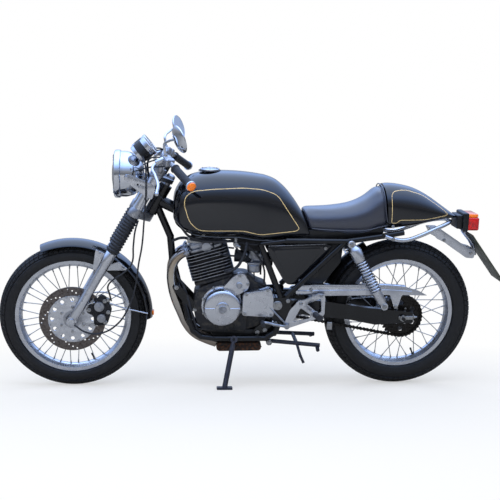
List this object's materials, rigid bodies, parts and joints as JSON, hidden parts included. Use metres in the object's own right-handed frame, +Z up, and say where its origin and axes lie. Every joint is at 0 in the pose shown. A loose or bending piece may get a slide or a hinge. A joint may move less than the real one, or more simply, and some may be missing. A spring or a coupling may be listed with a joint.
{
  "type": "cafe racer motorcycle",
  "caption": "Two-wheeled cafe racer motorcycle with clip-on bars, humped single seat, wire wheels and finned engine, leaning on its side stand.",
  "frame": {"origin": "centre of the bounding box at floor level, with the motorcycle leaning left on its side stand", "axes": "+X to the front, +Y to the left, +Z up"},
  "size_m": [2.1729, 0.7481, 1.1856],
  "materials": {
    "frame_paint": "satin black enamel",
    "body_paint": "gloss black enamel with cream pinstripes",
    "polished_alloy": "polished",
    "cast_alloy": "cast, slightly oxidised",
    "barrel_black": "black heat-resistant coating, bare fin edges",
    "chrome": "bright chromium plate",
    "steel_pipe": "heat-stained stainless steel",
    "rusty_black": "black heat paint with surface rust",
    "seat_leather": "smooth black",
    "black_plastic": "matt",
    "black_rubber": "matt",
    "tyre": "matt",
    "spoke_steel": "bright zinc plate",
    "disc_iron": "ground friction faces, light rust",
    "caliper_black": "satin",
    "chain_steel": "oily",
    "red_lens": "ribbed translucent lens",
    "amber_lens": "translucent lens"
  },
  "bodies": {
    "chassis": {"frame": "frame_paint", "rear_frame": "frame_paint", "swingarm": "frame_paint", "rear_shocks": "chrome", "crankcase": "cast_alloy", "alternator_cover": "polished_alloy", "sprocket_cover": "polished_alloy", "clutch_cover": "polished_alloy", "cylinder": "barrel_black", "cylinder_head": "barrel_black", "carburettor": "cast_alloy", "exhaust_headers": "steel_pipe", "collector_box": "rusty_black", "silencer": "chrome", "fuel_tank": "body_paint", "fuel_cap": "chrome", "seat": "seat_leather", "tail_cowl": "body_paint", "side_covers": "body_paint", "air_box": "black_plastic", "rear_mudguard": "black_plastic", "grab_rail": "chrome", "tail_lamp": "red_lens", "number_plate": "polished_alloy", "chain_guard": "polished_alloy", "chain": "chain_steel", "rear_sets": "polished_alloy", "foot_controls": "polished_alloy", "rear_brake_plate": "cast_alloy"},
    "steering": {"fork_yokes": "polished_alloy", "fork_tubes": "chrome", "fork_gaiters": "black_rubber", "fork_sliders": "polished_alloy", "headlamp": "chrome", "headlamp_ears": "polished_alloy", "instruments": "chrome", "handlebars": "polished_alloy", "control_levers": "polished_alloy", "bar_end_lamps": "amber_lens", "mirrors": "chrome", "front_mudguard": "body_paint", "brake_caliper": "caliper_black", "front_cables": "black_rubber"},
    "front_wheel": {"front_tyre": "tyre", "front_rim": "polished_alloy", "front_spokes": "spoke_steel", "front_hub": "polished_alloy", "brake_disc": "disc_iron"},
    "rear_wheel": {"rear_tyre": "tyre", "rear_rim": "polished_alloy", "rear_spokes": "spoke_steel", "rear_hub": "cast_alloy", "rear_sprocket": "frame_paint"},
    "side_stand": {"side_stand": "frame_paint"},
    "centre_stand": {"centre_stand": "frame_paint"}
  },
  "joints": [
    {"name": "steering", "type": "hinge", "parent": "chassis", "child": "steering", "pos_m": [0.46398, -0.04468, 0.72994], "axis": [-0.4924, 0.181, 0.8513], "range_deg": [-36, 36]},
    {"name": "front_wheel_spin", "type": "hinge", "parent": "steering", "child": "front_wheel", "pos_m": [0.77702, -0.13523, 0.30396], "axis": [0, 0.9781, -0.2079], "continuous": true},
    {"name": "rear_wheel_spin", "type": "hinge", "parent": "chassis", "child": "rear_wheel", "pos_m": [-0.62801, -0.13148, 0.32157], "axis": [0, 0.9781, -0.2079], "continuous": true},
    {"name": "side_stand_fold", "type": "hinge", "parent": "chassis", "child": "side_stand", "pos_m": [0.10048, -0.02922, 0.20629], "axis": [0.0691, 0.984, 0.1644], "range_deg": [0, 92]},
    {"name": "centre_stand_fold", "type": "hinge", "parent": "chassis", "child": "centre_stand", "pos_m": [-0.05352, -0.1555, 0.20859], "axis": [0, -0.9781, 0.2079], "range_deg": [0, 95], "stiffness_Nm_per_rad": 6, "springref_deg": -57.3}
  ]
}
